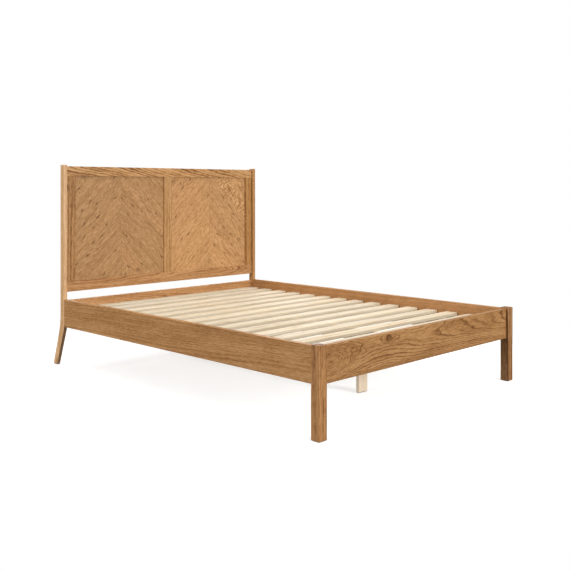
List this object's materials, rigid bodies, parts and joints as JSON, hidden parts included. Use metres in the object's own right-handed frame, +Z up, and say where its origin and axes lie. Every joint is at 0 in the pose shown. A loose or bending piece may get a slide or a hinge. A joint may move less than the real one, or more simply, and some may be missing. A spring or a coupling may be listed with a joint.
{
  "type": "wooden bed frame",
  "caption": "King-size oak bed frame with a framed parquet headboard on swept rear legs, a low foot end with square posts, and a slatted deck on a centre beam.",
  "frame": {"origin": "on the floor, at the middle of the bed's overall box", "axes": "+Z up, +X across the bed to the right as seen from the foot, +Y along the bed towards the headboard"},
  "size_m": [1.59, 2.2, 1.206],
  "materials": {
    "oak": "satin lacquered oak with open grain",
    "parquet": "satin lacquered oak veneer laid as parquet",
    "pine": "planed bare pine",
    "dowel": "plain beech",
    "zinc_steel": "zinc plated",
    "plastic": "moulded, fine texture"
  },
  "bodies": {
    "root": {"head_post_left": "oak", "head_post_right": "oak", "headboard_top_rail": "oak", "headboard_bottom_rail": "oak", "headboard_stile_left": "oak", "headboard_stile_centre": "oak", "headboard_stile_right": "oak", "headboard_panel_left": "parquet", "headboard_panel_right": "parquet", "head_cross_rail": "oak", "side_rail_left": "oak", "side_rail_right": "oak", "foot_post_left": "oak", "foot_post_right": "oak", "foot_rail": "oak", "slat_ledger_left": "pine", "slat_ledger_right": "pine", "centre_beam": "pine", "beam_hanger_foot": "zinc_steel", "beam_hanger_head": "zinc_steel", "centre_leg_1": "pine", "centre_leg_2": "pine", "centre_leg_3": "pine", "slat_1": "pine", "slat_2": "pine", "slat_3": "pine", "slat_4": "pine", "slat_5": "pine", "slat_6": "pine", "slat_7": "pine", "slat_8": "pine", "slat_9": "pine", "slat_10": "pine", "slat_11": "pine", "slat_12": "pine", "slat_13": "pine", "slat_14": "pine", "slat_15": "pine", "foot_bracket_left": "zinc_steel", "foot_bracket_right": "zinc_steel", "head_bracket_left": "zinc_steel", "head_bracket_right": "zinc_steel", "headboard_dowels": "dowel", "rail_dowels": "dowel", "hanger_bolts": "zinc_steel", "hanger_nuts": "zinc_steel", "bracket_screws": "zinc_steel", "beam_hanger_screws": "zinc_steel", "ledger_screws": "zinc_steel", "slat_screws": "zinc_steel", "leg_bolts": "zinc_steel", "leg_nuts": "zinc_steel", "floor_glides": "plastic"}
  },
  "joints": []
}
